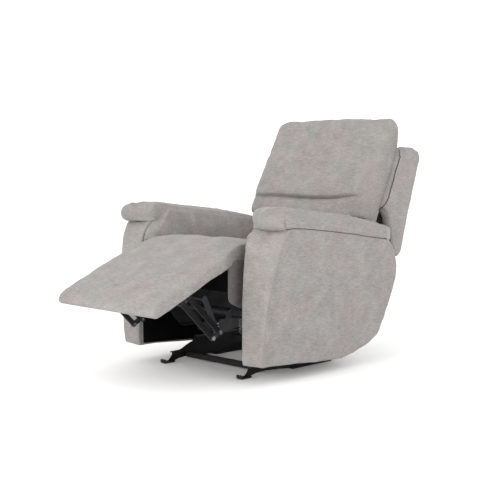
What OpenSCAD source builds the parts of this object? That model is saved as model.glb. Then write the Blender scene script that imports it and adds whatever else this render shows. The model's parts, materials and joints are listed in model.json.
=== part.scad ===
// Rocker recliner armchair: padded arms, a wide leaning back and a footrest on
// swinging steel links, all on a rocking steel base.
// The chair faces -Y and +X is the sitter's left. The footrest is out and the
// body leans a few degrees back on its rockers.
// Depths (Y) are measured from the front of the arms; the last lines shift the
// chair so that its origin is under the middle of its outline.

/* [Seat] */
// Half the width of the seat between the arm pads
seat_half_w = 262; // [250:1:264]
// Height of the seat's front crown
seat_crown_z = 535; // [525:1:545]
// Depth of the seat cushion, front to back
seat_depth = 585; // [560:5:590]

/* [Arms] */
// Half the width across the outer sides of the arms at their foot
arm_out_x = 405; // [400:1:410]
// Outward lean of the arms' outer sides, in degrees
arm_flare = 7.2; // [6:0.1:7.5]
// Distance from the middle to the inner board of each arm
arm_in_x = 304; // [303:1:306]
// Radius of the pillow on top of each arm
pad_r = 36; // [32:1:38]
// Height of the pillow's axis at the front
pad_front_z = 636; // [630:1:640]
// Downward slope of the pillow towards the back, in degrees
pad_slope = 5.4; // [5:0.1:6]

/* [Back] */
// Lean of the back cushion from the vertical, in degrees
back_lean = 26.6; // [25:0.1:28]
// Half the width of the back cushion
back_half_w = 328; // [315:1:328]
// Thickness of the back cushions
back_pad_t = 98; // [90:1:100]
// Height of the top of the back
back_top_z = 1028; // [1010:1:1030]

/* [Footrest] */
// Half the width of the footrest
ottoman_half_w = 284; // [270:1:290]
// Length of the footrest board
ottoman_len = 216; // [200:1:220]
// Slope of the footrest down to the front, in degrees
ottoman_tilt = 22.3; // [21:0.1:23]
// Thickness of the footrest pad over its board
ottoman_pad_t = 44; // [36:1:48]

/* [Links] */
// Width of the flat link bars
link_w = 22; // [18:1:24]
// Thickness of the link bars and brackets
link_t = 4; // [3:0.5:4]
// Radius of the link rivets
rivet_r = 5; // [4:0.5:5]

/* [Base] */
// Distance from the middle to the inner edge of each base rail
rail_in_x = 212; // [206:1:214]
// Width of a base rail
rail_w = 28; // [24:1:28]
// Radius of the rocker cams
cam_r = 520; // [480:10:560]

/* [Hidden] */
$fn = 64;

run_gap = 0.05;             // radial clearance of a rivet in a moving link
face_gap = 0.5;             // sideways gap between link bars
steel = [0.12, 0.12, 0.13];
link_grey = [0.42, 0.43, 0.46];
zinc = [0.72, 0.73, 0.75];
fabric = [0.70, 0.67, 0.65];
timber = [0.72, 0.58, 0.40];
liner = [0.07, 0.07, 0.08];

// Rocking axis: the centre of the cams' curve, above the tracks
glide_t = 3;
track_z = 98;
cam_gap = 0.3;
rock_y = 415;
rock_z = track_z + cam_gap + cam_r;
cam_half_len = 150;
cam_top_z = 150;
web_t = 4;
web_x = rail_in_x + (rail_w - web_t) / 2;
spring_y = [-80, 80];       // places of the rocker springs, from rock_y

// Footrest linkage. The lower link turns about pivot_a and carries two pins.
// The upper and guide links keep their direction, so the footrest swings
// about pole, which lies one link vector away from pivot_a.
link_vec = [-151, 146];
pivot_a = [43, 319];
pole = pivot_a + link_vec;
pin_b1 = [-203, 346];
pin_b2 = [-240, 328];
knee_1 = pin_b1 - link_vec;
knee_2 = pin_b2 - link_vec;
support_top = [-118, 334];
seat_rail_x = 240;
lower_link_x = seat_rail_x - face_gap - link_t;
upper_link_x = lower_link_x - face_gap - 1 - link_t;
bracket_x = upper_link_x - face_gap - 1 - link_t;
support_x = bracket_x - face_gap - 1 - link_t;
torque_at = pivot_a + 0.4 * (knee_1 - pivot_a);

// Footrest board: its inner lower edge
ottoman_root = [-202, 383];
ottoman_nose_r = 20;

// Back: hinge pin and the foot of the cushion's front face
recline_at = [660, 365];
recline_pin_r = 6;
back_foot = [601, 456];
lumbar_len = 254;
back_len = (back_top_z - back_foot.y + 20) / cos(back_lean);

// Arm outline helpers
side_t = 19;                // thickness of the padded side panel
end_panel_w = 160;          // width of the front and rear panels before the side panel trims them
arm_foot_z = 78;
arm_windows = [[80, 400, 140], [450, 640, 160]];    // [front, rear, sill] openings of the frame
arm_window_top = 460;
pad_front_y = 20;
pad_rear_y = 790;
function pad_axis_z(y) = pad_front_z - tan(pad_slope) * (y - pad_front_y);
function arm_top(y) = pad_axis_z(y) - pad_r / cos(pad_slope) - 1;

// Front edge of an arm, from the floor end up: it stands upright, then leans back
arm_front_pts = [[0, 78], [-6, 95], [-6, 313], [8, 440], [19, 498], [56, 545]];
// Rear edge of an arm, from the pillow down
arm_rear_pts = [[690, arm_top(690)], [735, 500], [768, 450], [780, 395], [778, 339], [750, 238],
                [713, 146], [696, 121], [644, 95]];
arm_outline = concat(arm_front_pts, [[100, arm_top(100)]], arm_rear_pts, [[550, 66], [427, 57]]);

// Whole outline in depth, for the origin under its middle
front_y = ottoman_root.x - (ottoman_len + 6) * cos(ottoman_tilt) - 6;
rear_y = 1036;
origin_y = (front_y + rear_y) / 2;

// Release handle on the sitter's right
handle_at = [190, 400];
handle_r = 8;

// A flat outline in depth and height, extruded sideways from x for a thickness t
module plate(x, t, pts) {
    translate([x, 0, 0]) rotate([90, 0, 90]) linear_extrude(t) polygon(pts);
}

// A round bar along X from x for a length, centred on p = [y, z]
module bar_x(x, len, r, p) {
    translate([x, p.x, p.y]) rotate([0, 90, 0]) cylinder(h = len, r = r);
}

// A box between two corners
module block(a, b) {
    translate(a) cube(b - a);
}

// Puts a shape on one side: 1 is the sitter's left, -1 the sitter's right
module on_side(side) {
    if (side > 0) children();
    else mirror([1, 0, 0]) children();
}

module both_sides() {
    for (side = [1, -1]) on_side(side) children();
}

// A flat bar with round ends from p to q, whose sides sit just inside the ends' roundness
module link_bar(x, p, q) {
    run = q - p;
    side_w = link_w - 0.4;
    translate([x, p.x, p.y]) rotate([atan2(run.y, run.x), 0, 0])
        translate([0, 0, -side_w / 2]) cube([link_t, norm(run), side_w]);
    bar_x(x, link_t, link_w / 2, p);
    bar_x(x, link_t, link_w / 2, q);
}

module bore_x(x, p, r) {
    bar_x(x - 1, link_t + 2, r, p);
}

// A rivet along X with a round head at each end
module rivet(x0, x1, p) {
    bar_x(x0, x1 - x0, rivet_r, p);
    bar_x(x0 - 2, 2, rivet_r + 3, p);
    bar_x(x1, 2, rivet_r + 3, p);
}

// ---- Base ----

rail_outline = [[57, glide_t], [115, glide_t], [141, 11], [187, 15], [282, 10], [350, glide_t],
                [600, glide_t], [617, 14], [617, 66], [600, track_z - 6], [246, track_z - 6],
                [227, 76], [198, 66], [158, 48], [113, 43], [106, 27], [90, 9], [57, 7]];

// One side rail: an upright web, with a hooked foot, a sole and a top flange
module base_rail(side) {
    color(steel) on_side(side) {
        plate(web_x, web_t, rail_outline);
        block([rail_in_x, 57, glide_t], [rail_in_x + rail_w, 115, 7]);
        block([rail_in_x, 57, 7], [rail_in_x + rail_w, 63, 17]);
        block([rail_in_x, 350, glide_t], [rail_in_x + rail_w, 600, 7]);
        block([rail_in_x, 246, track_z - 10], [rail_in_x + rail_w, 600, track_z - 6]);
        block([rail_in_x, 110, 39], [rail_in_x + rail_w, 158, 43]);
    }
}

module cross_beam(y0, y1, z0, z1) {
    wall = 3;
    color(steel) difference() {
        block([-web_x, y0, z0], [web_x, y1, z1]);
        block([-web_x - 1, y0 + wall, z0 + wall], [web_x + 1, y1 - wall, z1 - wall]);
    }
}

module floor_glides() {
    color(liner) both_sides() {
        block([rail_in_x + 2, 62, 0], [rail_in_x + rail_w - 2, 110, glide_t]);
        block([rail_in_x + 2, 356, 0], [rail_in_x + rail_w - 2, 594, glide_t]);
    }
}

module rocker_tracks() {
    color(liner) both_sides()
        block([rail_in_x + 2, 250, track_z - 6], [rail_in_x + rail_w - 2, 560, track_z]);
}

// Spring seats: tabs on the base and hangers on the body
spring_x = rail_in_x - 16;
module spring_brackets() {
    color(steel) both_sides() for (dy = spring_y) {
        block([spring_x - 16, rock_y + dy - 16, 70], [web_x, rock_y + dy + 16, 73]);
    }
}

module spring_hangers() {
    color(steel) both_sides() for (dy = spring_y)
        block([spring_x - 16, rock_y + dy - 16, cam_top_z], [rail_in_x + 2, rock_y + dy + 16, cam_top_z + 4]);
}

// A coil spring along Z: one closed mesh swept along its helix
module coil_spring(r, wire_r, height, turns) {
    per_turn = 14;
    sides = 6;
    rings = turns * per_turn;
    pts = [for (i = [0 : rings], j = [0 : sides - 1])
        let (a = 360 * i / per_turn, b = 360 * j / sides, rho = r + wire_r * cos(b))
        [rho * cos(a), rho * sin(a), wire_r + (height - 2 * wire_r) * i / rings + wire_r * sin(b)]];
    faces = concat(
        [[for (j = [0 : sides - 1]) j]],
        [for (i = [0 : rings - 1], j = [0 : sides - 1])
            let (k = (j + 1) % sides)
            [i * sides + j, (i + 1) * sides + j, (i + 1) * sides + k, i * sides + k]],
        [[for (j = [sides - 1 : -1 : 0]) rings * sides + j]]);
    polyhedron(pts, faces);
}

module rocker_springs() {
    color(zinc) both_sides() for (dy = spring_y)
        translate([spring_x, rock_y + dy, 73.2]) coil_spring(12, 2, cam_top_z - 73.4, 6);
}

// ---- Body frame ----

// A rocker cam: a slice of a disc about the rocking axis
module rocker_cam(side) {
    color(liner) on_side(side) intersection() {
        bar_x(rail_in_x + 4, rail_w - 8, cam_r, [rock_y, rock_z]);
        block([0, rock_y - cam_half_len, 0], [arm_in_x, rock_y + cam_half_len, cam_top_z]);
    }
}

tube_w = 25;
tube_front = [150, 226];
tube_rear = [560, 226];

module cross_tube(at) {
    wall = 2;
    color(steel) difference() {
        block([-arm_in_x, at.x, at.y], [arm_in_x, at.x + tube_w, at.y + tube_w]);
        block([-arm_in_x - 1, at.x + wall, at.y + wall],
              [arm_in_x + 1, at.x + tube_w - wall, at.y + tube_w - wall]);
    }
}

seat_rail_outline = [[43, 339], [26, 332], [20, 319], [26, 305], [45, 298], [112, 215], [170, cam_top_z],
                     [600, cam_top_z], [690, 335], [690, 392], [640, 392], [590, 340]];

// One side rail of the mechanism, with its foot flange on the cam
module seat_rail(side) {
    color(steel) on_side(side) difference() {
        union() {
            plate(seat_rail_x, web_t, seat_rail_outline);
            block([rail_in_x + 2, 170, cam_top_z], [seat_rail_x + 1, 600, cam_top_z + 4]);
        }
        bar_x(seat_rail_x - 1, web_t + 2, rivet_r, pivot_a);
        bar_x(seat_rail_x - 1, web_t + 2, recline_pin_r, recline_at);
        for (at = [tube_front, tube_rear])
            block([seat_rail_x - 1, at.x, at.y], [seat_rail_x + web_t + 1, at.x + tube_w, at.y + tube_w]);
    }
}

// Fixed rivets that the lower links turn on
module link_rivets() {
    color(zinc) both_sides() rivet(lower_link_x, seat_rail_x + web_t, pivot_a);
}

module recline_pins() {
    color(zinc) both_sides() {
        bar_x(lower_link_x - 2, web_t + link_t + 2.5, recline_pin_r, recline_at);
        bar_x(lower_link_x - 4, 3.4, recline_pin_r + 4, recline_at);
        bar_x(seat_rail_x + web_t, 3, recline_pin_r + 4, recline_at);
    }
}

module seat_front_rail() {
    color(liner) block([-seat_half_w + 5, -28, 352], [seat_half_w - 5, -8, 446]);
}

module seat_rear_rail() {
    color(timber) block([-seat_rail_x, 590, 343], [seat_rail_x, 612, 400]);
}

// Five zigzag springs between the two rails
module seat_springs() {
    pitch = 46;
    swing = 20;
    wire = 4;
    count = floor((590 + 8) / pitch);
    step = (590 + 8) / count;
    path = [for (i = [0 : count]) [i % 2 == 0 ? -swing : swing, i * step]];
    color(zinc) for (x = [-180 : 90 : 180]) translate([x, -8, 388])
        linear_extrude(wire) polygon(concat(
            [for (p = path) [p.x - wire / 2, p.y]],
            [for (i = [count : -1 : 0]) [path[i].x + wire / 2, path[i].y]]));
}

module seat_cushion() {
    color(fabric) plate(-seat_half_w + 5, 2 * (seat_half_w - 5),
        [[-26, 450], [-4, 450], [-4, 402], [seat_depth - 5, 402], [seat_depth, 456], [320, seat_crown_z - 32],
         [180, seat_crown_z - 9], [110, seat_crown_z - 1], [50, seat_crown_z], [0, seat_crown_z - 9],
         [-26, seat_crown_z - 30]]);
}

// Covered ends of the seat front, with a rounded lower corner
module seat_side_covers() {
    color(fabric) both_sides() plate(seat_half_w - 4, 4,
        [[-30, 448], [-30, 330], [-26, 318], [-16, 308], [31, 286], [45, 290], [45, 448]]);
}

// Soft bridge between the seat and the footrest
module chaise_pad() {
    color(fabric) plate(-ottoman_half_w + 12, 2 * (ottoman_half_w - 12),
        [[-193, 394], [-150, 410], [-41, 446], [-29, 452], [-29, seat_crown_z - 26], [-109, 478], [-205, 440]]);
}

// ---- Arms ----

module arm_frame(side) {
    color(timber) on_side(side) difference() {
        plate(arm_in_x + 4, arm_out_x - side_t - arm_in_x - 5,
            [[26, 90], [427, 72], [550, 80], [636, 116], [688, 160], [728, 250], [756, 345], [758, 392],
             [745, 440], [716, 484], [684, 506], [110, 560], [84, 540], [48, 495], [26, 400]]);
        for (w = arm_windows) block([arm_in_x, w[0], w[2]], [arm_out_x, w[1], arm_window_top]);
    }
}

// Black inner lining of an arm
module arm_liner(side) {
    color(liner) on_side(side) plate(arm_in_x, 4,
        [[20, 82], [427, 60], [550, 70], [640, 102], [686, 130], [698, 152], [762, 341], [764, 394],
         [752, 444], [722, 490], [684, 510], [112, 556], [84, 540], [46, 492], [30, 430], [18, 320], [18, 110]]);
}

// Leans a shape outwards about the arm's lower outer edge
module flared() {
    translate([arm_out_x, 0, arm_foot_z]) rotate([0, arm_flare, 0]) translate([-arm_out_x, 0, -arm_foot_z])
        children();
}

// Keeps the part of a shape that lies inside the leaning side panel
module inside_side() {
    intersection() {
        children();
        flared() block([0, -200, -200], [arm_out_x - side_t, 1000, 800]);
    }
}

module arm_side(side) {
    color(fabric) on_side(side) difference() {
        flared() plate(arm_out_x - side_t, side_t, arm_outline);
        if (side < 0) flared() bar_x(arm_out_x - side_t - 1, side_t + 2, handle_r, handle_at);
    }
}

// Front panel of an arm: a band behind the front edge
module arm_front(side) {
    band = 16;
    color(fabric) on_side(side) inside_side() plate(arm_in_x, end_panel_w,
        concat(arm_front_pts, [[88, 580], [96, 566]],
            [for (i = [len(arm_front_pts) - 1 : -1 : 0])
                [arm_front_pts[i].x + (i == 0 ? 14 : i == 1 ? 20 : band), arm_front_pts[i].y - (i > 3 ? 6 : 0)]]));
}

// Rear edge panel of an arm, inside the side panel's outline
module arm_rear(side) {
    color(fabric) on_side(side) inside_side() plate(arm_in_x + 4, end_panel_w,
        concat(arm_rear_pts,
            [[641, 104], [690, 131], [702, 152], [738, 242], [766, 341], [768, 393], [757, 445], [727, 491],
             [684, arm_top(684) - 10]]));
}

module arm_inner_pad(side) {
    color(fabric) on_side(side) plate(seat_half_w + 4, arm_in_x - seat_half_w - 4.5,
        [[-10, 300], [-16, 420], [-4, 520], [34, 572], [90, arm_top(90)], [760, arm_top(760)], [760, 300]]);
}

// Pillow over the arm: a soft bar with round ends
module arm_pillow(side) {
    inner_x = arm_in_x + 17;
    outer_x = arm_out_x + 28;
    corners = [[inner_x, pad_front_y], [outer_x, pad_front_y],
               [inner_x, pad_rear_y], [outer_x, pad_rear_y - 110]];
    color(fabric) on_side(side) hull()
        for (c = corners) translate([c.x, c.y, pad_axis_z(c.y)]) sphere(pad_r, $fn = 32);
}

module handle_bezel() {
    color(liner) on_side(-1) flared() difference() {
        bar_x(arm_out_x, 5, 34, handle_at);
        bar_x(arm_out_x - 1, 7, handle_r + run_gap, handle_at);
    }
}

// Side lever: a boss and shaft with a flat grip that points forwards
module release_handle() {
    grip_len = 130;
    color(liner) on_side(-1) flared() {
        bar_x(arm_out_x - 18, 24, handle_r - run_gap, handle_at);
        bar_x(arm_out_x + 6, 12, 22, handle_at);
        translate([arm_out_x + 8, handle_at.x, handle_at.y]) rotate([-14, 0, 0]) {
            translate([0, -grip_len, -13]) cube([10, grip_len, 26]);
            translate([0, -grip_len, 0]) rotate([0, 90, 0]) cylinder(h = 10, r = 13);
        }
    }
}

// ---- Footrest linkage ----

// Cranked lower link with its fixed pivot and its two knee pins
module lower_link(side) {
    color(link_grey) on_side(side) difference() {
        union() {
            link_bar(lower_link_x, pivot_a, knee_1);
            link_bar(lower_link_x, knee_1, knee_2);
        }
        bore_x(lower_link_x, pivot_a, rivet_r + run_gap);
        for (p = [knee_1, knee_2]) bore_x(lower_link_x, p, rivet_r);
    }
}

module knee_rivets() {
    color(zinc) both_sides() {
        bar_x(support_x, lower_link_x + link_t + 1.5 - support_x, rivet_r, knee_1);
        bar_x(lower_link_x + link_t, 1.5, rivet_r + 3, knee_1);
        bar_x(upper_link_x - 1, lower_link_x + link_t + 2.5 - upper_link_x, rivet_r, knee_2);
        bar_x(lower_link_x + link_t, 1.5, rivet_r + 3, knee_2);
        bar_x(upper_link_x - 3, 2, rivet_r + 3, knee_2);
    }
}

module torque_tube() {
    color(steel) difference() {
        bar_x(-lower_link_x, 2 * lower_link_x, 9, torque_at);
        bar_x(-lower_link_x - 1, 2 * lower_link_x + 2, 7, torque_at);
    }
}

// Arms that hold a bar under the soft bridge
module support_arms() {
    color(link_grey) both_sides() difference() {
        link_bar(support_x, knee_1, support_top);
        bore_x(support_x, knee_1, rivet_r);
    }
}

module support_bar() {
    color(steel) bar_x(-support_x, 2 * support_x, 8, support_top);
}

// One of the two parallel links, with the rivet that holds the footrest
module swing_link(side, knee, pin) {
    color(link_grey) on_side(side) {
        difference() {
            link_bar(upper_link_x, knee, pin);
            bore_x(upper_link_x, knee, rivet_r + run_gap);
        }
        bar_x(bracket_x - 1, upper_link_x + 0.5 - bracket_x + 1, rivet_r - 1, pin);
        bar_x(bracket_x - 3, 2, rivet_r + 2, pin);
        bar_x(upper_link_x + link_t, 0.8, rivet_r + 2, pin);
    }
}

module on_ottoman() {
    translate([0, ottoman_root.x, ottoman_root.y]) rotate([ottoman_tilt, 0, 0]) children();
}

module ottoman_board() {
    color(timber) on_ottoman() block([-ottoman_half_w + 14, -ottoman_len, 0], [ottoman_half_w - 14, 0, 12]);
}

// Footrest pad: a rounded slab whose nose turns down over the board
module ottoman_pad() {
    top = 12 + ottoman_pad_t;
    r = ottoman_nose_r;
    color(fabric) on_ottoman() difference() {
        translate([-ottoman_half_w, 0, 0]) rotate([90, 0, 90]) linear_extrude(2 * ottoman_half_w)
            hull() {
                translate([-ottoman_len - 6 + r, top - r]) circle(r, $fn = 32);
                translate([-ottoman_len - 6 + 8, 8]) circle(8, $fn = 24);
                translate([-8, top - 8]) circle(8, $fn = 24);
                square([0.1, 0.1]);
            }
        block([-ottoman_half_w + 14, -ottoman_len, -1], [ottoman_half_w - 14, 1, 12]);
    }
}

module ottoman_brackets() {
    color(link_grey) both_sides() difference() {
        union() {
            plate(bracket_x, link_t,
                [[-270, 355.1], [-205, 381.8], [-190, 346], [-203, 333], [-240, 315], [-262, 326]]);
            on_ottoman() block([bracket_x - 20, -80, -3], [bracket_x + link_t, -6, 0]);
        }
        for (p = [pin_b1, pin_b2]) bore_x(bracket_x, p, rivet_r - 1 + run_gap);
    }
}

// ---- Back ----

// Places a shape in the back's own leaning frame: Y is into the back, Z is up its face
module on_back() {
    translate([0, back_foot.x, back_foot.y]) rotate([-back_lean, 0, 0]) children();
}

module lumbar_cushion() {
    color(fabric) on_back() plate(-seat_half_w + 2, 2 * (seat_half_w - 2),
        [[0, 4], [0, lumbar_len], [back_pad_t - 2, lumbar_len], [back_pad_t - 2, 36], [60, 0], [20, -4]]);
}

// Wide upper cushion with a crowned front and a rolled top
module back_cushion() {
    color(fabric) on_back() plate(-back_half_w, 2 * back_half_w,
        [[8, lumbar_len + 3], [-6, lumbar_len + 40], [-8, 440], [0, back_len - 60], [14, back_len - 22],
         [40, back_len - 2], [72, back_len - 4], [back_pad_t - 4, back_len - 30], [back_pad_t - 2, back_len - 70],
         [back_pad_t - 2, lumbar_len + 3]]);
}

post_in_x = lower_link_x + link_t;
frame_t = 40;
frame_top = 512;
rung_z = [60, 250, frame_top - 50];

// Timber ladder frame behind the cushions
module back_frame() {
    y0 = back_pad_t;
    color(timber) on_back() {
        both_sides() block([post_in_x, y0, 20], [post_in_x + 18, y0 + frame_t, frame_top]);
        for (z = rung_z) {
            half = z == rung_z[0] ? lower_link_x : post_in_x;
            block([-half, y0, z], [half, y0 + 22, z + 50]);
        }
    }
}

// Plates that carry the back on its hinge pins
module back_brackets() {
    color(steel) both_sides() difference() {
        union() {
            bar_x(lower_link_x, link_t, 20, recline_at);
            on_back() plate(lower_link_x, link_t,
                [[78, -62], [back_pad_t + 0.5, 20], [back_pad_t + 0.5, 156], [140, 160], [142, 14], [112, -66]]);
        }
        bore_x(lower_link_x, recline_at, recline_pin_r + run_gap);
    }
}

// Side wing of the back, from the arm's rear end up to the shoulder
module back_wing(side) {
    color(fabric) on_side(side) plate(back_half_w + 3, 32,
        [[838, 600], [844, 500], [866, 452], [880, 440], [896, 436], [947, 606], [1034, 858], [1034, 876],
         [1022, 888], [970, 905], [926, 900], [826, 711], [808, 662]]);
}

// Outside back: a sheet up the rear that turns forwards over the top
module back_panel() {
    color(fabric) plate(-back_half_w, 2 * back_half_w,
        [[880, 440], [896, 440], [947, 606], [rear_y, 866], [1022, 888], [972, 903], [934, 902],
         [934, 891], [970, 892], [1012, 874], [932, 610]]);
}

// Shifts a node from the arms' front to the origin under the chair's middle
module set_down() {
    translate([0, -origin_y, 0]) children();
}

set_down() base_rail(1);  // base_rail_left
set_down() base_rail(-1);  // base_rail_right
set_down() cross_beam(187, 209, 12, 34);  // front_cross_beam
set_down() cross_beam(545, 567, 16, 38);  // rear_cross_beam
set_down() floor_glides();
set_down() rocker_tracks();
set_down() spring_brackets();
set_down() rocker_springs();
set_down() rocker_cam(1);  // rocker_cam_left
set_down() rocker_cam(-1);  // rocker_cam_right
set_down() seat_rail(1);  // seat_rail_left
set_down() seat_rail(-1);  // seat_rail_right
set_down() spring_hangers();
set_down() cross_tube(tube_front);  // front_cross_tube
set_down() cross_tube(tube_rear);  // rear_cross_tube
set_down() link_rivets();
set_down() recline_pins();
set_down() seat_front_rail();
set_down() seat_rear_rail();
set_down() seat_springs();
set_down() seat_cushion();
set_down() seat_side_covers();
set_down() chaise_pad();
set_down() arm_frame(1);  // arm_frame_left
set_down() arm_frame(-1);  // arm_frame_right
set_down() arm_liner(1);  // arm_liner_left
set_down() arm_liner(-1);  // arm_liner_right
set_down() arm_side(1);  // arm_side_left
set_down() arm_side(-1);  // arm_side_right
set_down() arm_front(1);  // arm_front_left
set_down() arm_front(-1);  // arm_front_right
set_down() arm_rear(1);  // arm_rear_left
set_down() arm_rear(-1);  // arm_rear_right
set_down() arm_inner_pad(1);  // arm_inner_pad_left
set_down() arm_inner_pad(-1);  // arm_inner_pad_right
set_down() arm_pillow(1);  // arm_pillow_left
set_down() arm_pillow(-1);  // arm_pillow_right
set_down() handle_bezel();
set_down() release_handle();
set_down() lower_link(1);  // lower_link_left
set_down() lower_link(-1);  // lower_link_right
set_down() torque_tube();
set_down() support_arms();
set_down() support_bar();
set_down() knee_rivets();
set_down() swing_link(1, knee_1, pin_b1);  // upper_link_left
set_down() swing_link(-1, knee_1, pin_b1);  // upper_link_right
set_down() swing_link(1, knee_2, pin_b2);  // guide_link_left
set_down() swing_link(-1, knee_2, pin_b2);  // guide_link_right
set_down() ottoman_board();
set_down() ottoman_pad();
set_down() ottoman_brackets();
set_down() back_frame();
set_down() back_brackets();
set_down() back_cushion();
set_down() lumbar_cushion();
set_down() back_wing(1);  // back_wing_left
set_down() back_wing(-1);  // back_wing_right
set_down() back_panel();
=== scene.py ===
"""Recliner armchair: upholstery, materials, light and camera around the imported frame.

Outlines are in millimetres, as depth from the front of the arms and height from the
floor. place() turns them into the frame's metres. +X is the sitter's left.
"""

import json
import math
import random

import bmesh
import bpy
import numpy as np
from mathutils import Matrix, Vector
from mathutils.bvhtree import BVHTree


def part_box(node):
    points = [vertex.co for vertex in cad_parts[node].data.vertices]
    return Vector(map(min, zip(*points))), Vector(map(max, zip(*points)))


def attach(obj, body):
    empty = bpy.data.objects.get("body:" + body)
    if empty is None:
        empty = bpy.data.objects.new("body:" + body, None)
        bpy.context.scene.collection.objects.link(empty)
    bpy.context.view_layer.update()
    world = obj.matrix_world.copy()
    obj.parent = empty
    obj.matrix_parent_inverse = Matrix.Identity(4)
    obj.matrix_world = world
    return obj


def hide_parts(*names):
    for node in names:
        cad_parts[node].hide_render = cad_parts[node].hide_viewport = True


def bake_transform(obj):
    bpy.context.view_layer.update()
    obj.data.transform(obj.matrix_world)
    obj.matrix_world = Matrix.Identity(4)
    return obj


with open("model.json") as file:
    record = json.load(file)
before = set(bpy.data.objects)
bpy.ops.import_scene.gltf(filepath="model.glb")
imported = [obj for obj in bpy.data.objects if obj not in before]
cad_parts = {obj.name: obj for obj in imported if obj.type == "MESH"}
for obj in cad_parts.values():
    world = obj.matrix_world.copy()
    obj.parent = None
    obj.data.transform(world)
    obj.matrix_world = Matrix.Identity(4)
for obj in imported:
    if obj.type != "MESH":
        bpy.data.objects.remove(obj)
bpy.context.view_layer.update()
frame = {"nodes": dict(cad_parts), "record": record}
MM = 0.001
NODES = frame["nodes"]
SIDES = (("left", 1), ("right", -1))

# ---------------------------------------------------------------- places
FRONT_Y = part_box("arm_front_left")[0].y + 6 * MM     # the arms' front plane
ARM_IN_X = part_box("arm_liner_left")[0].x / MM
ARM_FOOT_X = 405
ARM_FLARE = math.radians(7.2)
SEAT_X = 262
OTTOMAN_X = 284
BACK_X = 328
BACK_LEAN = math.radians(26.6)
BACK_FOOT = (601, 456)
VOXEL = 7                 # millimetres between points on the large cushions
FINE_VOXEL = 6
CLOTH_STEPS = 20


def place(x, y, z):
    """A point in the frame from millimetres beside, behind and above."""
    return Vector((x * MM, FRONT_Y + y * MM, z * MM))


def depth(co):
    """Millimetres behind the arms' front, for an array of frame points."""
    return (co[:, 1] - FRONT_Y) / MM


def back_point(x, into, up):
    """A point in the back's leaning frame: into the back and up its face."""
    c, s = math.cos(BACK_LEAN), math.sin(BACK_LEAN)
    return place(x, BACK_FOOT[0] + into * c + up * s, BACK_FOOT[1] - into * s + up * c)


def smooth(edge0, edge1, v):
    t = np.clip((v - edge0) / (edge1 - edge0), 0, 1)
    return t * t * (3 - 2 * t)


def bump(v, centre, width):
    """A soft hill of height 1."""
    return np.exp(-((v - centre) / width) ** 2)


# ---------------------------------------------------------------- mesh tools
def new_object(name, bm):
    mesh = bpy.data.meshes.new(name)
    bmesh.ops.recalc_face_normals(bm, faces=bm.faces)
    bm.to_mesh(mesh)
    bm.free()
    obj = bpy.data.objects.new(name, mesh)
    bpy.context.scene.collection.objects.link(obj)
    return obj


def prism(bm, outline, x0, x1, where=place):
    """A closed solid between two widths; x0 and x1 are numbers or functions of the point."""
    rings = []
    for x in (x0, x1):
        at = x if callable(x) else (lambda y, z, value=x: value)
        rings.append([bm.verts.new(where(at(y, z), y, z)) for y, z in outline])
    count = len(outline)
    for i in range(count):
        j = (i + 1) % count
        bm.faces.new([rings[0][i], rings[0][j], rings[1][j], rings[1][i]])
    bm.faces.new(rings[0])
    bm.faces.new(rings[1])


def solid(name, *parts, where=place):
    """Object of one or more overlapping prisms, each (outline, x0, x1)."""
    bm = bmesh.new()
    for outline, x0, x1 in parts:
        prism(bm, outline, x0, x1, where)
    return new_object(name, bm)


def active(obj):
    bpy.ops.object.select_all(action="DESELECT")
    bpy.context.view_layer.objects.active = obj
    obj.select_set(True)


def apply_modifiers(obj):
    active(obj)
    for modifier in list(obj.modifiers):
        bpy.ops.object.modifier_apply(modifier=modifier.name)


def remesh(obj, voxel):
    obj.data.remesh_voxel_size = voxel * MM
    obj.data.use_remesh_fix_poles = False
    active(obj)
    bpy.ops.object.voxel_remesh()
    return obj


def points(obj):
    co = np.empty(len(obj.data.vertices) * 3)
    obj.data.vertices.foreach_get("co", co)
    return co.reshape(-1, 3)


def set_points(obj, co):
    obj.data.vertices.foreach_set("co", np.ascontiguousarray(co).ravel())
    obj.data.update()


def normals(obj):
    nor = np.empty(len(obj.data.vertices) * 3)
    obj.data.vertex_normals.foreach_get("vector", nor)
    return nor.reshape(-1, 3)


def edge_pairs(obj):
    pairs = np.empty(len(obj.data.edges) * 2, dtype=np.int64)
    obj.data.edges.foreach_get("vertices", pairs)
    return pairs.reshape(-1, 2)


def relax(obj, times, weight=None):
    """Evens the surface, so hard edges turn round. weight is 0 to 1 for each point."""
    co = points(obj)
    pairs = edge_pairs(obj)
    count = np.bincount(pairs.ravel(), minlength=len(co)).astype(float)[:, None]
    share = 0.5 if weight is None else 0.5 * weight[:, None]
    for _ in range(times):
        total = np.zeros_like(co)
        for axis in range(3):
            total[:, axis] = np.bincount(pairs[:, 0], co[pairs[:, 1], axis], len(co))
            total[:, axis] += np.bincount(pairs[:, 1], co[pairs[:, 0], axis], len(co))
        co += share * (total / count - co)
    set_points(obj, co)
    return obj


def cloth_result(obj, pinned, pressure):
    """Where the cloth solver takes the points of a closed form under inner pressure."""
    cloth = obj.modifiers.new("cloth", "CLOTH")
    cloth.settings.use_pressure = True
    cloth.settings.uniform_pressure_force = pressure
    cloth.settings.effector_weights.gravity = 0
    cloth.settings.quality = 4
    if pinned is not None:
        group = obj.vertex_groups.new(name="pinned")
        for value in np.unique(np.round(pinned, 2)):
            chosen = np.nonzero(np.round(pinned, 2) == value)[0].tolist()
            group.add(chosen, float(value), "REPLACE")
        cloth.settings.vertex_group_mass = "pinned"
    scene = bpy.context.scene
    scene.frame_start, scene.frame_end = 1, CLOTH_STEPS
    for step in range(1, CLOTH_STEPS + 1):
        scene.frame_set(step)
    shaped = obj.evaluated_get(bpy.context.evaluated_depsgraph_get())
    after = np.empty(len(shaped.data.vertices) * 3)
    shaped.data.vertices.foreach_get("co", after)
    obj.modifiers.remove(cloth)
    scene.frame_set(1)
    return after.reshape(-1, 3)


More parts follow.
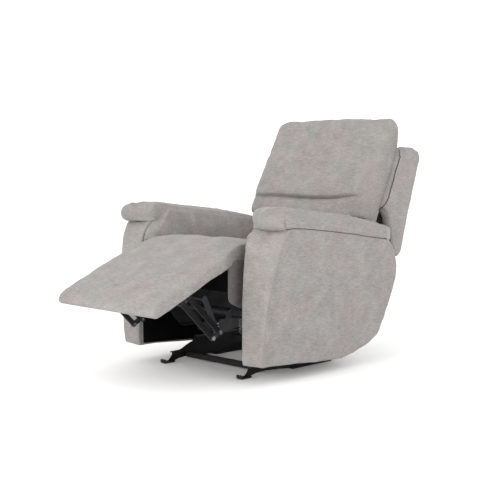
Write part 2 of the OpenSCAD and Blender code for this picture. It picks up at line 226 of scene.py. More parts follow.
def inflate(obj, cap, share=1.0, pinned=None, pressure=4.0):
    """Swells a cushion with the cloth solver, moves no point more than cap millimetres,
    and keeps a share of that move."""
    before = points(obj)
    move = cloth_result(obj, pinned, pressure) - before
    length = np.linalg.norm(move, axis=1, keepdims=True)
    limit = cap * MM
    move *= share * limit * np.tanh(length / limit) / np.maximum(length, 1e-9)
    set_points(obj, before + move)
    return obj


def subdivide(obj):
    modifier = obj.modifiers.new("subdivision", "SUBSURF")
    modifier.levels = modifier.render_levels = 1
    apply_modifiers(obj)
    return obj


def shade_smooth(obj):
    obj.data.polygons.foreach_set("use_smooth", [True] * len(obj.data.polygons))
    obj.data.update()
    return obj


def waves(co, seed, scales, amplitude):
    """Low bumps of several sizes for unevenly stuffed cloth, in metres."""
    rng = random.Random(seed)
    total = np.zeros(len(co))
    for scale in scales:
        direction = np.array([rng.uniform(-1, 1) for _ in range(3)])
        second = np.array([rng.uniform(-1, 1) for _ in range(3)])
        shift = rng.uniform(0, 6)
        first_wave = np.sin(co @ direction * 2 * math.pi / scale + shift)
        total += first_wave * np.cos(co @ second * 2 * math.pi / scale - shift)
    return total * amplitude / len(scales)


def tube(name, path, radius, sides=8, closed=False):
    """A round cord of cloth or wire along a list of points."""
    curve = bpy.data.curves.new(name, "CURVE")
    curve.dimensions = "3D"
    curve.bevel_depth = radius
    curve.bevel_resolution = max(1, sides // 4)
    curve.use_fill_caps = True
    spline = curve.splines.new("POLY")
    spline.points.add(len(path) - 1)
    for point, where in zip(spline.points, path):
        point.co = (*where, 1)
    spline.use_cyclic_u = closed
    obj = bpy.data.objects.new(name, curve)
    bpy.context.scene.collection.objects.link(obj)
    active(obj)
    bpy.ops.object.convert(target="MESH")
    return shade_smooth(bpy.context.view_layer.objects.active)


def surface_tree(obj):
    return BVHTree.FromPolygons([v.co for v in obj.data.vertices],
                                [p.vertices[:] for p in obj.data.polygons])


def onto(tree, origin, direction):
    """Where a ray meets the surface, or None where it misses."""
    return tree.ray_cast(origin, Vector(direction).normalized())[0]


def met(hits):
    """The points of a list of rays that met the surface."""
    return [hit for hit in hits if hit is not None]


def finish_piece(obj, body, material, nodes=()):
    shade_smooth(obj)
    obj.data.materials.clear()
    obj.data.materials.append(material)
    if body:
        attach(obj, body)
    if nodes:
        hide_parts(*nodes)
    return obj


# ---------------------------------------------------------------- materials
class Shader:
    """A material's node tree, with short calls for the nodes that it needs."""

    def __init__(self, name):
        self.material = bpy.data.materials.new(name)
        self.material.use_nodes = True
        self.nodes = self.material.node_tree.nodes
        self.links = self.material.node_tree.links
        self.bsdf = self.nodes["Principled BSDF"]
        self.where = self.nodes.new("ShaderNodeTexCoord")

    def link(self, out, into):
        self.links.new(out, into)

    def set(self, **values):
        for key, value in values.items():
            name = key.replace("_", " ").title().replace("Ior", "IOR")
            self.bsdf.inputs[name].default_value = value

    def stretched(self, scale):
        mapping = self.nodes.new("ShaderNodeMapping")
        mapping.inputs["Scale"].default_value = scale
        self.link(self.where.outputs["Object"], mapping.inputs["Vector"])
        return mapping.outputs["Vector"]

    def noise(self, scale=1.0, stretch=(1, 1, 1), detail=2.0, rough=0.5):
        node = self.nodes.new("ShaderNodeTexNoise")
        node.inputs["Scale"].default_value = scale
        node.inputs["Detail"].default_value = detail
        node.inputs["Roughness"].default_value = rough
        self.link(self.stretched(stretch), node.inputs["Vector"])
        return node.outputs["Fac"]

    def ramp(self, value, *stops):
        node = self.nodes.new("ShaderNodeValToRGB")
        elements = node.color_ramp.elements
        while len(elements) < len(stops):
            elements.new(0.5)
        for element, (position, colour) in zip(elements, stops):
            element.position = position
            element.color = (*colour, 1)
        self.link(value, node.inputs["Fac"])
        return node.outputs["Color"]

    def mix(self, kind, factor, a, b):
        node = self.nodes.new("ShaderNodeMix")
        node.data_type = "RGBA"
        node.blend_type = kind
        inputs = (node.inputs["Factor"], node.inputs[6], node.inputs[7])
        for socket, value in zip(inputs, (factor, a, b)):
            if isinstance(value, bpy.types.NodeSocket):
                self.link(value, socket)
            else:
                socket.default_value = value
        return node.outputs[2]

    def range(self, value, low, high, to_low=0.0, to_high=1.0):
        node = self.nodes.new("ShaderNodeMapRange")
        node.interpolation_type = "SMOOTHSTEP"
        keys = ("From Min", "From Max", "To Min", "To Max")
        for key, number in zip(keys, (low, high, to_low, to_high)):
            node.inputs[key].default_value = number
        self.link(value, node.inputs["Value"])
        return node.outputs["Result"]

    def bump(self, height, strength, distance, after=None):
        node = self.nodes.new("ShaderNodeBump")
        node.inputs["Strength"].default_value = strength
        node.inputs["Distance"].default_value = distance
        self.link(height, node.inputs["Height"])
        if after is not None:
            self.link(after, node.inputs["Normal"])
        self.link(node.outputs["Normal"], self.bsdf.inputs["Normal"])
        return node.outputs["Normal"]

    def sideways(self):
        """1 where the surface faces left or right, 0 where it faces front, back, up or down."""
        split = self.nodes.new("ShaderNodeSeparateXYZ")
        self.link(self.where.outputs["Normal"], split.inputs["Vector"])
        size = self.nodes.new("ShaderNodeMath")
        size.operation = "ABSOLUTE"
        self.link(split.outputs["X"], size.inputs[0])
        return self.range(size.outputs[0], 0.55, 0.8)

    def wear(self, low=0.5, high=0.62):
        """Worn edges: how sharply the surface bends outwards."""
        geometry = self.nodes.new("ShaderNodeNewGeometry")
        return self.range(geometry.outputs["Pointiness"], low, high)


def chenille(name, painted_shade_factor=1.0):
    """Warm grey woven chenille: level slubbed threads over faint blotches."""
    s = Shader(name)
    slub_x = s.noise(1.0, (36, 300, 300), 3.0, 0.55)
    slub_y = s.noise(1.0, (300, 36, 300), 3.0, 0.55)
    slubs = s.mix("MIX", s.sideways(), slub_x, slub_y)
    weave_x = s.noise(1.0, (220, 700, 700), 2.0)
    weave_y = s.noise(1.0, (700, 220, 700), 2.0)
    weave = s.mix("MIX", s.sideways(), weave_x, weave_y)
    blotch = s.noise(16.0, (1, 1, 1), 3.0, 0.6)
    hue = s.noise(9.0, (1.2, 1, 1), 2.0)
    # a factor below 1 darkens the whole cloth: painted shade
    dark = tuple(c * painted_shade_factor for c in (0.214, 0.202, 0.195))
    light = tuple(c * painted_shade_factor for c in (0.257, 0.244, 0.236))
    base = s.ramp(blotch, (0.30, dark), (0.70, light))
    pink = s.mix("MULTIPLY", 1.0, base, (1.025, 0.99, 0.99, 1))
    green = s.mix("MULTIPLY", 1.0, base, (0.985, 1.005, 0.99, 1))
    toned = s.mix("MIX", s.range(hue, 0.38, 0.62), pink, green)
    streak = s.ramp(slubs, (0.30, (0.84, 0.83, 0.825)), (0.50, (0.99, 0.99, 0.99)),
                    (0.70, (1.14, 1.135, 1.13)))
    colour = s.mix("MULTIPLY", 1.0, toned, streak)
    speck = s.ramp(weave, (0.32, (0.78, 0.78, 0.78)), (0.68, (1.20, 1.20, 1.20)))
    s.link(s.mix("MULTIPLY", 1.0, colour, speck), s.bsdf.inputs["Base Color"])
    s.link(s.range(slubs, 0.3, 0.7, 0.96, 0.84), s.bsdf.inputs["Roughness"])
    s.set(sheen_weight=0.12, sheen_roughness=0.5, specular_ior_level=0.12)
    first = s.bump(slubs, 0.45, 0.0011)
    s.bump(weave, 0.3, 0.0005, first)
    return s.material


def seam_shadow_cloth():
    """Near-black cloth for cords along the sewn joints: painted shadow standing for the shade in the grooves.
    """
    s = Shader("painted_seam_shadow")
    twist = s.noise(900.0, (1, 1, 1), 1.0)
    colour = s.ramp(twist, (0.3, (0.016, 0.014, 0.013)), (0.7, (0.034, 0.030, 0.028)))
    s.link(colour, s.bsdf.inputs["Base Color"])
    s.set(roughness=0.9, sheen_weight=0.2)
    s.bump(twist, 0.4, 0.0004)
    return s.material


def enamel(name, dark, light, roughness, grain=260.0, metallic=0.0, edge=None):
    """Painted or plated metal: fine orange peel, smudges, and worn edges."""
    s = Shader(name)
    smudge = s.noise(22.0, (1, 1, 1), 4.0, 0.6)
    peel = s.noise(grain, (1, 1, 1), 2.0)
    colour = s.ramp(smudge, (0.32, dark), (0.68, light))
    if edge:
        colour = s.mix("MIX", s.wear(), colour, (*edge, 1))
    s.link(colour, s.bsdf.inputs["Base Color"])
    s.link(s.range(smudge, 0.3, 0.7, roughness * 0.8, roughness * 1.25), s.bsdf.inputs["Roughness"])
    s.set(metallic=metallic, specular_ior_level=0.15)
    s.bump(peel, 0.12, 0.0005)
    return s.material


def lining():
    """Black woven lining."""
    s = Shader("black_lining")
    weave_x = s.noise(1.0, (300, 1400, 1400), 2.0)
    dust = s.noise(16.0, (1, 1, 1), 3.0)
    dusted = s.ramp(dust, (0.3, (0.0015, 0.0015, 0.0017)), (0.75, (0.004, 0.0038, 0.004)))
    threads = s.ramp(weave_x, (0.3, (0.7, 0.7, 0.7)), (0.7, (1.3, 1.3, 1.3)))
    s.link(s.mix("MULTIPLY", 1.0, dusted, threads), s.bsdf.inputs["Base Color"])
    s.set(roughness=0.95, specular_ior_level=0.06)
    s.bump(weave_x, 0.3, 0.0005)
    return s.material


def wood():
    """Sawn frame timber: long grain with rings."""
    s = Shader("frame_timber")
    grain = s.noise(1.0, (40, 8, 120), 6.0, 0.65)
    pores = s.noise(1.0, (500, 60, 900), 2.0)
    base = s.ramp(grain, (0.3, (0.26, 0.17, 0.09)), (0.52, (0.38, 0.26, 0.15)), (0.75, (0.46, 0.34, 0.21)))
    s.link(s.mix("MULTIPLY", 0.5, base, s.ramp(pores, (0.35, (0.6, 0.55, 0.5)), (0.6, (1, 1, 1)))),
           s.bsdf.inputs["Base Color"])
    s.set(roughness=0.72)
    s.bump(grain, 0.2, 0.0008)
    return s.material


def moulded(name, colour, roughness=0.5):
    """Moulded plastic or rubber with a fine texture."""
    s = Shader(name)
    skin = s.noise(700.0, (1, 1, 1), 2.0)
    haze = s.noise(30.0, (1, 1, 1), 3.0)
    lighter = tuple(c * 1.6 + 0.001 for c in colour)
    s.link(s.ramp(haze, (0.3, colour), (0.7, lighter)), s.bsdf.inputs["Base Color"])
    s.link(s.range(skin, 0.3, 0.7, roughness * 0.85, roughness * 1.15), s.bsdf.inputs["Roughness"])
    s.bump(skin, 0.25, 0.0003)
    return s.material


FABRIC = chenille("upholstery_chenille")
# painted shade: a copy of the chenille at half brightness, standing for the shade on the seat ends beside the
# arms
PAINTED_SHADE_FABRIC = chenille("painted_shade_chenille", 0.5)
# painted shadow: near-black cloth for the cords in the sewn joints
PAINTED_SEAM_SHADOW = seam_shadow_cloth()
LINING = lining()
BLACK_STEEL = enamel("black_enamel", (0.0012, 0.0012, 0.0014), (0.003, 0.003, 0.0034), 0.5,
                     edge=(0.01, 0.01, 0.011))
LINK_STEEL = enamel("blued_link_steel", (0.0015, 0.0016, 0.0019), (0.004, 0.0042, 0.005), 0.36,
                    metallic=0.0, edge=(0.03, 0.03, 0.033))
ZINC = enamel("zinc_plate", (0.16, 0.165, 0.17), (0.28, 0.285, 0.30), 0.30,
              grain=420.0, metallic=0.95, edge=(0.60, 0.61, 0.63))
TIMBER = wood()
PLASTIC = moulded("track_plastic", (0.004, 0.004, 0.0045), 0.45)
RUBBER = moulded("glide_rubber", (0.003, 0.003, 0.003), 0.75)
HANDLE = moulded("handle_plastic", (0.006, 0.006, 0.0065), 0.38)

SLOT_MATERIAL = {"black_steel": BLACK_STEEL, "glide_rubber": RUBBER, "track_plastic": PLASTIC,
                 "link_steel": LINK_STEEL, "zinc_steel": ZINC, "timber": TIMBER,
                 "black_lining": LINING, "upholstery": FABRIC}


def dress_cad_nodes():
    """Gives every CAD node the node material of its record slot."""
    for row in frame["record"]["subparts"]:
        materials = NODES[row["node"]].data.materials
        materials.clear()
        materials.append(SLOT_MATERIAL[row["material_slot"]])
    for name in ("handle_bezel", "release_handle"):
        NODES[name].data.materials.clear()
        NODES[name].data.materials.append(HANDLE)


# ---------------------------------------------------------------- arms
ARM_SIDE = [(-2, 74), (-6, 93), (-6, 313), (0, 420), (9, 500), (21, 545), (39, 575), (64, 600), (104, 612),
            (226, 598), (362, 584), (619, 550), (672, 538), (722, 507), (756, 460), (770, 425), (777, 390),
            (774, 335), (762, 295), (745, 238), (726, 186), (711, 146), (694, 121), (642, 92), (550, 63),
            (485, 51), (427, 51), (332, 55), (212, 64), (100, 72)]


ARM_FOOT_Z = 78
FRONT_FACE = ([78, 95, 313, 420, 500, 545, 575, 600], [-2, -6, -6, 0, 9, 21, 39, 64])


def outer_x(z):
    """The leaning outer side of an arm at a height, in millimetres."""
    return ARM_FOOT_X + math.tan(ARM_FLARE) * (z - ARM_FOOT_Z)


def corner_radius(z):
    """Radius of an arm's front outer corner, tight at the floor and wide at the top."""
    return 8 + 44 * smooth(180, 600, z)


def round_front_corner(obj, side):
    """Rounds the arm's front outer edge, more and more towards the top."""
    co = points(obj)
    x = co[:, 0] * side / MM
    y = depth(co)
    z = co[:, 2] / MM
    out = outer_x(z)
    radius = corner_radius(z)
    front = np.interp(z, *FRONT_FACE)
    cx, cy = out - radius, front + radius
    dx, dy = x - cx, y - cy
    corner = (dx > 0) & (dy < 0)
    reach = np.maximum(np.hypot(dx, dy), 1e-6)
    pull = np.where(corner & (reach > radius), radius / reach, 1.0)
    co[:, 0] = side * np.where(corner, cx + dx * pull, x) * MM
    co[:, 1] = FRONT_Y + np.where(corner, cy + dy * pull, y) * MM
    set_points(obj, co)


def arm_body(name, side):
    """The covered box of an arm: front, outer side and rear in one skin."""
    obj = solid("arm_body_" + name, (ARM_SIDE, side * (ARM_IN_X + 0.5), lambda y, z: side * outer_x(z)))
    remesh(obj, VOXEL)
    round_front_corner(obj, side)
    co = points(obj)
    inner = smooth(ARM_IN_X + 14, ARM_IN_X + 4, co[:, 0] * side / MM)
    relax(obj, 6, 1 - 0.9 * inner)
    co = points(obj)
    nor = normals(obj)
    swell = 1 - inner
    set_points(obj, co + nor * (swell * waves(co, 3 + side, (0.31, 0.17, 0.11), 0.0030))[:, None])
    dart(obj, side)
    subdivide(obj)
    finish_piece(obj, "chassis", FABRIC,
                 ("arm_side_" + name, "arm_front_" + name, "arm_rear_" + name))
    return obj


def corner_line(z):
    """Where the front panel is sewn to the side panel: depth and width at a height."""
    radius = float(corner_radius(z))
    return float(np.interp(z, *FRONT_FACE)) + radius * 0.9, outer_x(z) - radius * 0.06


def dart(obj, side):
    """Sinks a shallow groove along the sewn corner of the arm."""
    co = points(obj)
    nor = normals(obj)
    y = depth(co)
    z = co[:, 2] / MM
    heights = np.arange(70, 640, 10)
    line = np.interp(z, heights, [corner_line(h)[0] for h in heights])
    near = bump(y, line, 5) * smooth(340, 380, co[:, 0] * side / MM)
    set_points(obj, co - nor * (near * 1.8 * MM)[:, None])


def arm_seams(name, side, body):
    """The sewn corner of the front panel, and a painted shadow: a near-black cord along the joint under the
    pillow.
    """
    tree = surface_tree(body)
    corner = []
    for z in range(90, 600, 8):
        y, x = corner_line(z)
        corner.append(onto(tree, place(side * (x + 60), y - 20, z), (-side * 0.95, 0.31, 0)))
    seam = tube("arm_front_seam_" + name, met(corner), 1.1 * MM)
    finish_piece(seam, "chassis", FABRIC)
    joint = []
    for x in range(350, 452, 8):
        joint.append(onto(tree, place(side * x, -80, 588 + 0.05 * (x - 350)), (0, 1, 0)))
    for y in range(62, 700, 10):
        joint.append(onto(tree, place(side * 600, y, float(np.interp(y, *SEAM)) - 3), (-side, 0, 0)))
    # painted shadow: the near-black cord stands for the shade in the groove under the pillow
    shadow = tube("pillow_seam_painted_shadow_" + name, met(joint), 1.7 * MM)
    finish_piece(shadow, "chassis", PAINTED_SEAM_SHADOW)


PILLOW_TOP = [(-17, 638), (-12, 655), (6, 668), (40, 672), (115, 668), (260, 652), (500, 625),
              (665, 597), (762, 576), (800, 562), (822, 546)]
PILLOW_UNDER = [(812, 520), (690, 528), (619, 536), (471, 559), (311, 580), (164, 596), (104, 600), (60, 594),
                (20, 590), (-4, 602), (-15, 618)]
CREST = ([-20, 17, 115, 260, 500, 665, 762, 822], [640, 668, 664, 648, 621, 594, 576, 550])
SEAM = ([-22, 60, 104, 164, 311, 471, 619, 812], [594, 594, 600, 596, 580, 559, 536, 515])


SLAB = [(76, 330), (62, 440), (20, 482), (14, 520), (30, 566), (62, 590), (300, 600), (560, 580),
        (740, 540), (740, 330)]
SHOULDER = [(48, 560), (44, 618), (74, 646), (260, 634), (500, 607), (740, 572), (740, 500), (500, 530),
            (260, 545)]


def arm_pad(name, side):
    """The pillow on an arm and the padded inner side that flows down from it, one cushion."""
    pillow_out = side * (outer_x(600) - 4)
    obj = solid("arm_pad_" + name, (SHOULDER, side * 273, side * 335),
                (PILLOW_TOP + PILLOW_UNDER, side * 290, pillow_out),
                (SLAB, side * 269, side * (ARM_IN_X - 1)))
    remesh(obj, VOXEL)
    sewn = shape_arm_pad(obj, side)
    relax(obj, 10, 1 - 0.6 * sewn)
    inflate(obj, 22, 0.5, arm_pad_pins(obj, side))
    subdivide(obj)
    gather(obj, side)
    finish_piece(obj, "chassis", FABRIC, ("arm_pillow_" + name, "arm_inner_pad_" + name))


def shape_arm_pad(obj, side):
    """Gives the pad its crest and its plan, and says how near each point lies to the sewn line."""
    co = points(obj)
    x = co[:, 0] * side / MM
    y = depth(co)
    z = co[:, 2] / MM
    seam_z = np.interp(y, *SEAM)
    # the pillow's crest lies inwards of its middle and falls to the outer seam
    share = np.clip((z - seam_z) / 70, 0, 1)
    co[:, 2] -= share * (np.clip(x - 345, 0, 200) / 115) ** 2 * 22 * MM
    # plan of the rear end: the outer corner is cut back in a wide round
    limit = 828 - 160 * np.clip((x - 350) / 115, 0, 1) ** 1.6
    co[:, 1] -= np.clip(y - limit, 0, 400) * 0.92 * MM * (x > 350)
    # plan of the nose: the outer front corner is rounded to follow the arm
    nose = 55 * np.clip((x - 385) / 80, 0, 1) ** 2
    co[:, 1] += nose * smooth(70, 0, y) * MM
    # the nose ends over the inner board, and the pad's front edge lies further back
    step_back = 52 * smooth(396, 352, x) + 34 * np.clip((336 - x) / 50, 0, 1) ** 2
    co[:, 1] += step_back * smooth(270, -10, y) * smooth(568, 612, z) * MM
    corner = 36 * np.clip((306 - x) / 34, 0, 1) ** 2
    co[:, 1] += corner * smooth(150, 0, y) * smooth(612, 590, z) * MM
    set_points(obj, co)
    return smooth(14, 4, np.abs(z - seam_z)) * smooth(400, 430, x)


def arm_pad_pins(obj, side):
    """Holds the pad where it is sewn to the arm and where it lies against the arm's inner side."""
    co = points(obj)
    x = co[:, 0] * side / MM
    z = co[:, 2] / MM
    y = depth(co)
    seam_z = np.interp(y, *SEAM)
    sewn = smooth(14, 3, z - seam_z) * smooth(300, 320, x)
    against_arm = smooth(ARM_IN_X - 8, ARM_IN_X - 3, x) * smooth(590, 560, z)
    return np.clip(np.maximum(sewn, against_arm), 0, 1)


def gather(obj, side):
    """Small puckers along the pillow's outer shoulder and faint folds down the inner side."""
    co = points(obj)
    nor = normals(obj)
    x = co[:, 0] * side / MM
    y = depth(co)
    z = co[:, 2] / MM
    crest = np.interp(y, *CREST)
    shoulder = bump(x, 398, 30) * smooth(crest - 50, crest - 25, z)
    shoulder = shoulder * smooth(-10, 40, y) * smooth(800, 740, y)
    ripple = np.sin(y / 6.5 + 2.4 * np.sin(y / 37.0)) * np.cos(y / 19.0 + x / 11.0)
    folds = bump(x, 268, 10) * smooth(560, 500, z) * np.sin(y / 21.0 + 1.5 * np.sin(y / 60.0)) * 0.9
    height = (shoulder * ripple * 3.2 + folds * 1.2) * MM + waves(co, 17 + side, (0.16, 0.09), 0.0020)
    set_points(obj, co + nor * height[:, None])


# ---------------------------------------------------------------- seat and footrest
TOP_LINE = ((-414, 331), (-390, 350), (-327, 380), (-263, 408), (-200, 435), (-109, 474), (-16, 515),
            (32, 531), (104, 534), (147, 532), (190, 520), (238, 508), (320, 499), (423, 481),
            (541, 462), (572, 454))
UNDER_LINE = ((572, 420), (300, 430), (60, 448), (-27, 450), (-41, 446), (-150, 406), (-196, 385),
              (-209, 378), (-355, 313), (-405, 293), (-420, 299), (-425, 314))


def pad_half_width(y):
    """Half the width of the long pad: wide on the footrest, narrower between the arms."""
    return np.interp(y, [-205, -60, 0, 60], [OTTOMAN_X + 9, OTTOMAN_X + 6, SEAT_X, SEAT_X - 2])


def seat_pad():
    """Seat, soft bridge and footrest pad: one long cushion that bends at the knee."""
    outline = list(TOP_LINE) + list(UNDER_LINE)
    obj = solid("seat_and_footrest_pad", (outline, -OTTOMAN_X + 5, OTTOMAN_X - 5))
    remesh(obj, VOXEL)
    co = points(obj)
    y = depth(co)
    co[:, 0] *= pad_half_width(y) / OTTOMAN_X
    set_points(obj, co)
    relax(obj, 7)
    inflate(obj, 24, 0.45, seat_pins(obj))
    subdivide(obj)
    shape_seat(obj)
    return obj


def seat_pins(obj):
    """Holds the underside, and the sides between the arms."""
    co = points(obj)
    y = depth(co)
    z = co[:, 2] / MM
    x = np.abs(co[:, 0]) / MM
    under = np.interp(y, [p[0] for p in UNDER_LINE[7::-1]], [p[1] for p in UNDER_LINE[7::-1]])
    low = smooth(14, 5, z - under)
    between_arms = smooth(0, 40, y) * smooth(SEAT_X - 14, SEAT_X - 6, x)
    return np.clip(np.maximum(low, between_arms), 0, 1)


TACK = (-50, -316)


def shape_seat(obj):
    """Crown, tack dimple and uneven stuffing."""
    co = points(obj)
    nor = normals(obj)
    y = depth(co)
    x = co[:, 0] / MM
    up = smooth(0.2, 0.7, nor[:, 2])
    crown = (1 - (x / OTTOMAN_X) ** 4) * smooth(-420, -340, y) * smooth(60, 0, y) * 5
    mound = bump(y, 95, 95) * (1 - (x / SEAT_X) ** 4) * 12
    tack = np.hypot(x - TACK[0], y - TACK[1])
    dimple = -11 * bump(tack, 0, 13) - 4 * bump(tack, 0, 60)
    lumps = waves(co, 5, (0.27, 0.16, 0.10), 0.0045)
    height = up * ((crown + mound + dimple) * MM + lumps)
    set_points(obj, co + nor * height[:, None])


# ---------------------------------------------------------------- back
def back_pad():
    """Back cushion: a narrow foot between the arms and the wide pad that rises above them."""
    foot = [(2, -4), (-2, 60), (-4, 190), (40, 200), (92, 200), (92, 34), (60, 2), (20, -6)]
    pad = [(4, 172), (-6, 190), (-8, 262), (-12, 320), (-12, 400), (-8, 500), (0, 585), (10, 632),
           (24, 659), (42, 666), (58, 652), (72, 612), (84, 560), (92, 500), (92, 172)]
    wide = BACK_X + 11
    obj = solid("back_pad", (foot, -SEAT_X + 4, SEAT_X - 4), (pad, -wide, wide), where=back_point)
    return remesh(obj, VOXEL)


def back_local(co):
    """Across, into and up, in millimetres, in the back's leaning frame."""
    c, s = math.cos(BACK_LEAN), math.sin(BACK_LEAN)
    y = depth(co) - BACK_FOOT[0]
    z = co[:, 2] / MM - BACK_FOOT[1]
    return co[:, 0] / MM, y * c - z * s, y * s + z * c


def from_back_local(x, into, up):
    c, s = math.cos(BACK_LEAN), math.sin(BACK_LEAN)
    y = BACK_FOOT[0] + into * c + up * s
    z = BACK_FOOT[1] - into * s + up * c
    return np.stack([x * MM, FRONT_Y + y * MM, z * MM], axis=1)


BACK_CORNER = (51, 602, 62)       # in from the side, up the face, and the corner's radius


def shape_back_start(obj):
    """Level top with round shoulders, a little narrower behind."""
    in_from_side, corner_up, radius = BACK_CORNER
    x, into, up = back_local(points(obj))
    across = np.abs(x) / BACK_X
    up = up + smooth(380, 600, up) * (16 * (1 - across ** 2) - 6)
    reach_x = np.clip(np.abs(x) - (BACK_X - in_from_side), 0, 100)
    reach_up = np.clip(up - corner_up, 0, 200)
    reach = np.maximum(np.hypot(reach_x, reach_up), 1e-6)
    pull = np.where((reach > radius) & (reach_x > 0) & (reach_up > 0), radius / reach, 1.0)
    x = np.where(reach_x > 0, np.sign(x) * (BACK_X - in_from_side + reach_x * pull), x)
    up = np.where(reach_up > 0, corner_up + reach_up * pull, up)
    x = x * (1 - 0.03 * smooth(30, 90, into) * smooth(440, 600, up))
    set_points(obj, from_back_local(x, into, up))


def back_pins(obj):
    """Holds the cushion's rear face, which rests on the frame."""
    into = back_local(points(obj))[1]
    return smooth(76, 88, into)


def crease(obj):
    """The sewn tuck across the back, deepest in the middle and fading to the sitter's left."""
    co = points(obj)
    x, into, up = back_local(co)
    front = smooth(60, 20, into)
    line = 252 - 6 * bump(x, 20, 160) + 12 * smooth(140, 280, x)
    fade = smooth(330, 190, x) * smooth(-340, -300, x) * (0.62 + 0.38 * bump(x, 20, 190))
    gap = up - line
    tuck = front * fade * 20 * np.exp(-np.abs(gap) / 8.0)
    over = front * fade * 16 * smooth(0, 14, gap) * smooth(120, 20, gap)
    below = front * fade * 2 * smooth(-70, -12, gap) * smooth(0, -8, gap)
    into = into + tuck - over - below
    up = up - front * fade * 7 * smooth(-2, 10, gap) * smooth(60, 12, gap)
    set_points(obj, from_back_local(x, into, up))


def make_back():
    """The whole front of the back, with its tuck, as one cushion."""
    obj = back_pad()
    shape_back_start(obj)
    x, into = back_local(points(obj))[:2]
    against_wing = smooth(50, 76, into) * smooth(BACK_X - 40, BACK_X - 15, np.abs(x))
    relax(obj, 9, 1 - 0.85 * against_wing)
    inflate(obj, 24, 0.6, back_pins(obj))
    subdivide(obj)
    crease(obj)
    co = points(obj)
    nor = normals(obj)
    set_points(obj, co + nor * waves(co, 9, (0.33, 0.2, 0.12), 0.0030)[:, None])
    finish_piece(obj, "backrest", FABRIC, ("back_cushion", "lumbar_cushion"))
    return obj


WING = ((826, 600), (840, 500), (860, 452), (884, 432), (908, 448), (926, 500), (956, 606), (1004, 742),
        (1033, 822), (1041, 858), (1030, 884), (988, 905), (936, 906), (908, 892), (860, 792), (818, 708),
        (790, 650))


def back_wing(name, side):
    """A padded wing beside the back cushion."""
    obj = solid("wing_pad_" + name, (WING, side * (BACK_X - 3), side * (BACK_X + 40)))
    remesh(obj, FINE_VOXEL)
    inner = smooth(BACK_X + 16, BACK_X + 6, points(obj)[:, 0] * side / MM)
    relax(obj, 6, 1 - 0.9 * inner)
    inner = smooth(BACK_X + 12, BACK_X + 4, points(obj)[:, 0] * side / MM)
    inflate(obj, 22, 0.5, inner)
    subdivide(obj)
    co = points(obj)
    set_points(obj, co + normals(obj) * waves(co, 21 + side, (0.2, 0.11), 0.0018)[:, None])
    finish_piece(obj, "backrest", FABRIC, ("back_wing_" + name,))


GAP_LINE = ((912, 893), (898, 861), (884, 831), (867, 796), (850, 760), (833, 725), (817, 690), (800, 663),
            (784, 636))


def wing_gaps(cushion):
    """Painted shadow: a near-black cord along the joint between the back cushion and each wing, where the gap
    lies in shade.
    """
    cushion_tree = surface_tree(cushion)
    for name, side in SIDES:
        wing_tree = surface_tree(bpy.data.objects["wing_pad_" + name])
        path = []
        for y, z in GAP_LINE:
            start = place(side * 500, y, z)
            hits = met([onto(tree, start, (-side, 0, 0)) for tree in (cushion_tree, wing_tree)])
            path.append(max(hits, key=lambda hit: abs(hit.x), default=None))
        # painted shadow: the near-black cord stands for the shade in the gap beside the wing
        line = tube("wing_joint_painted_shadow_" + name, met(path), 2.3 * MM)
        finish_piece(line, "backrest", PAINTED_SEAM_SHADOW)


def back_cover():
    """Outside back: the sheet down the rear with its lip over the top."""
    outline = [(880, 440), (893, 436), (947, 606), (990, 732), (1034, 864), (1030, 880), (1018, 890),
               (972, 903), (936, 901), (934, 891), (970, 890), (1008, 874), (976, 760), (932, 612)]
    obj = solid("outside_back", (outline, -BACK_X, BACK_X))
    remesh(obj, FINE_VOXEL)
    relax(obj, 3)
    co = points(obj)
    push = bump(co[:, 0] / MM, 0, 240) * bump(co[:, 2] / MM, 650, 170) * 4 * MM
    nor = normals(obj)
    rear = smooth(0.4, 0.8, nor[:, 1])
    set_points(obj, co + nor * (rear * (waves(co, 33, (0.3, 0.17), 0.002) + push))[:, None])
    finish_piece(obj, "backrest", FABRIC, ("back_panel",))


# ---------------------------------------------------------------- seat side covers
def side_cover(name, side):
    """The covered end of the seat front beside the linkage, with a few pulled folds."""
    outline = [(-33, 452), (-33, 332), (-28, 318), (-18, 308), (31, 286), (45, 290), (45, 470), (0, 470)]
    obj = solid("seat_side_cover_" + name, (outline, side * (SEAT_X - 5), side * (SEAT_X + 1.5)))
    remesh(obj, 3)
    relax(obj, 3)
    co = points(obj)
    y = depth(co)
    z = co[:, 2] / MM
    out = smooth(SEAT_X - 4, SEAT_X + 1, co[:, 0] * side / MM)
    pull = np.sin((z - 0.6 * y) / 7.0 + np.sin(y / 17.0)) * smooth(345, 300, z)
    co[:, 0] += side * out * pull * 1.6 * MM
    set_points(obj, co)
    return obj


def seat_covers():
    pieces = [side_cover(name, side) for name, side in SIDES]
    # the seat side covers get the half-bright chenille: painted shade for their shaded place between seat and
    # arms
    finish_piece(pieces[0], "chassis", PAINTED_SHADE_FABRIC, ("seat_side_covers",))
    finish_piece(pieces[1], "chassis", PAINTED_SHADE_FABRIC)


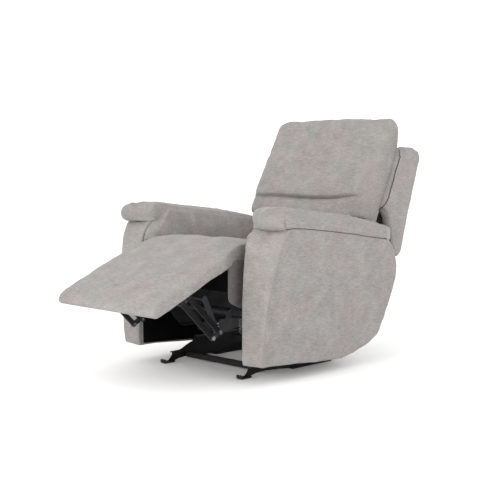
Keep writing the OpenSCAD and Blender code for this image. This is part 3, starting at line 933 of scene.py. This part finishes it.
# ---------------------------------------------------------------- stage
def white_room(scene):
    """An even white surround that dims towards the zenith."""
    world = bpy.data.worlds.new("studio")
    world.use_nodes = True
    sky = world.node_tree.nodes
    links = world.node_tree.links
    sky["Background"].inputs["Strength"].default_value = 1.8
    split = sky.new("ShaderNodeSeparateXYZ")
    links.new(sky.new("ShaderNodeTexCoord").outputs["Generated"], split.inputs["Vector"])
    zenith = sky.new("ShaderNodeValToRGB")
    zenith.color_ramp.elements[0].position = 0.15
    zenith.color_ramp.elements[0].color = (1, 1, 1, 1)
    zenith.color_ramp.elements[1].color = (0.55, 0.55, 0.55, 1)
    links.new(split.outputs["Z"], zenith.inputs["Fac"])
    links.new(zenith.outputs["Color"], sky["Background"].inputs["Color"])
    scene.world = world


def pale_floor():
    bm = bmesh.new()
    bmesh.ops.create_grid(bm, x_segments=8, y_segments=8, size=30)
    floor = new_object("floor", bm)
    s = Shader("studio_floor")
    pale = s.ramp(s.noise(3.0), (0.3, (0.94, 0.94, 0.94)), (0.7, (0.96, 0.96, 0.96)))
    s.link(pale, s.bsdf.inputs["Base Color"])
    s.set(roughness=1.0, specular_ior_level=0.0)
    floor.data.materials.append(s.material)


def studio():
    scene = bpy.context.scene
    scene.view_settings.view_transform = "Standard"
    scene.view_settings.look = "None"
    white_room(scene)
    pale_floor()
    area_light("key", (0.4, -4.2, 1.3), 2.2, 82, (1.0, 0.965, 0.955))
    area_light("fill", (4.2, -0.4, 1.7), 2.4, 34, (1.0, 1.0, 0.985))


def area_light(name, where, size, power, colour):
    light = bpy.data.lights.new(name, "AREA")
    light.shape = "DISK"
    light.size = size
    light.energy = power
    light.color = colour
    obj = bpy.data.objects.new(name, light)
    obj.location = where
    obj.rotation_euler = (Vector((0, 0, 0.5)) - Vector(where)).to_track_quat("-Z", "Y").to_euler()
    bpy.context.scene.collection.objects.link(obj)


def camera():
    data = bpy.data.cameras.new("camera")
    data.lens = 75.0
    data.sensor_width = 36.0
    obj = bpy.data.objects.new("camera", data)
    obj.location = (3.0549, -3.0625, 0.8596)
    target = Vector((0.3433, -0.3113, 0.5165))
    obj.rotation_euler = (target - obj.location).to_track_quat("-Z", "Y").to_euler()
    bpy.context.scene.collection.objects.link(obj)
    bpy.context.scene.camera = obj


# ---------------------------------------------------------------- build
studio()
camera()
dress_cad_nodes()
for label, sign in SIDES:
    covered = arm_body(label, sign)
    arm_seams(label, sign, covered)
    arm_pad(label, sign)
    back_wing(label, sign)
long_pad = seat_pad()
finish_piece(long_pad, None, FABRIC, ("seat_cushion", "chaise_pad", "ottoman_pad"))
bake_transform(long_pad)
wing_gaps(make_back())
back_cover()
seat_covers()
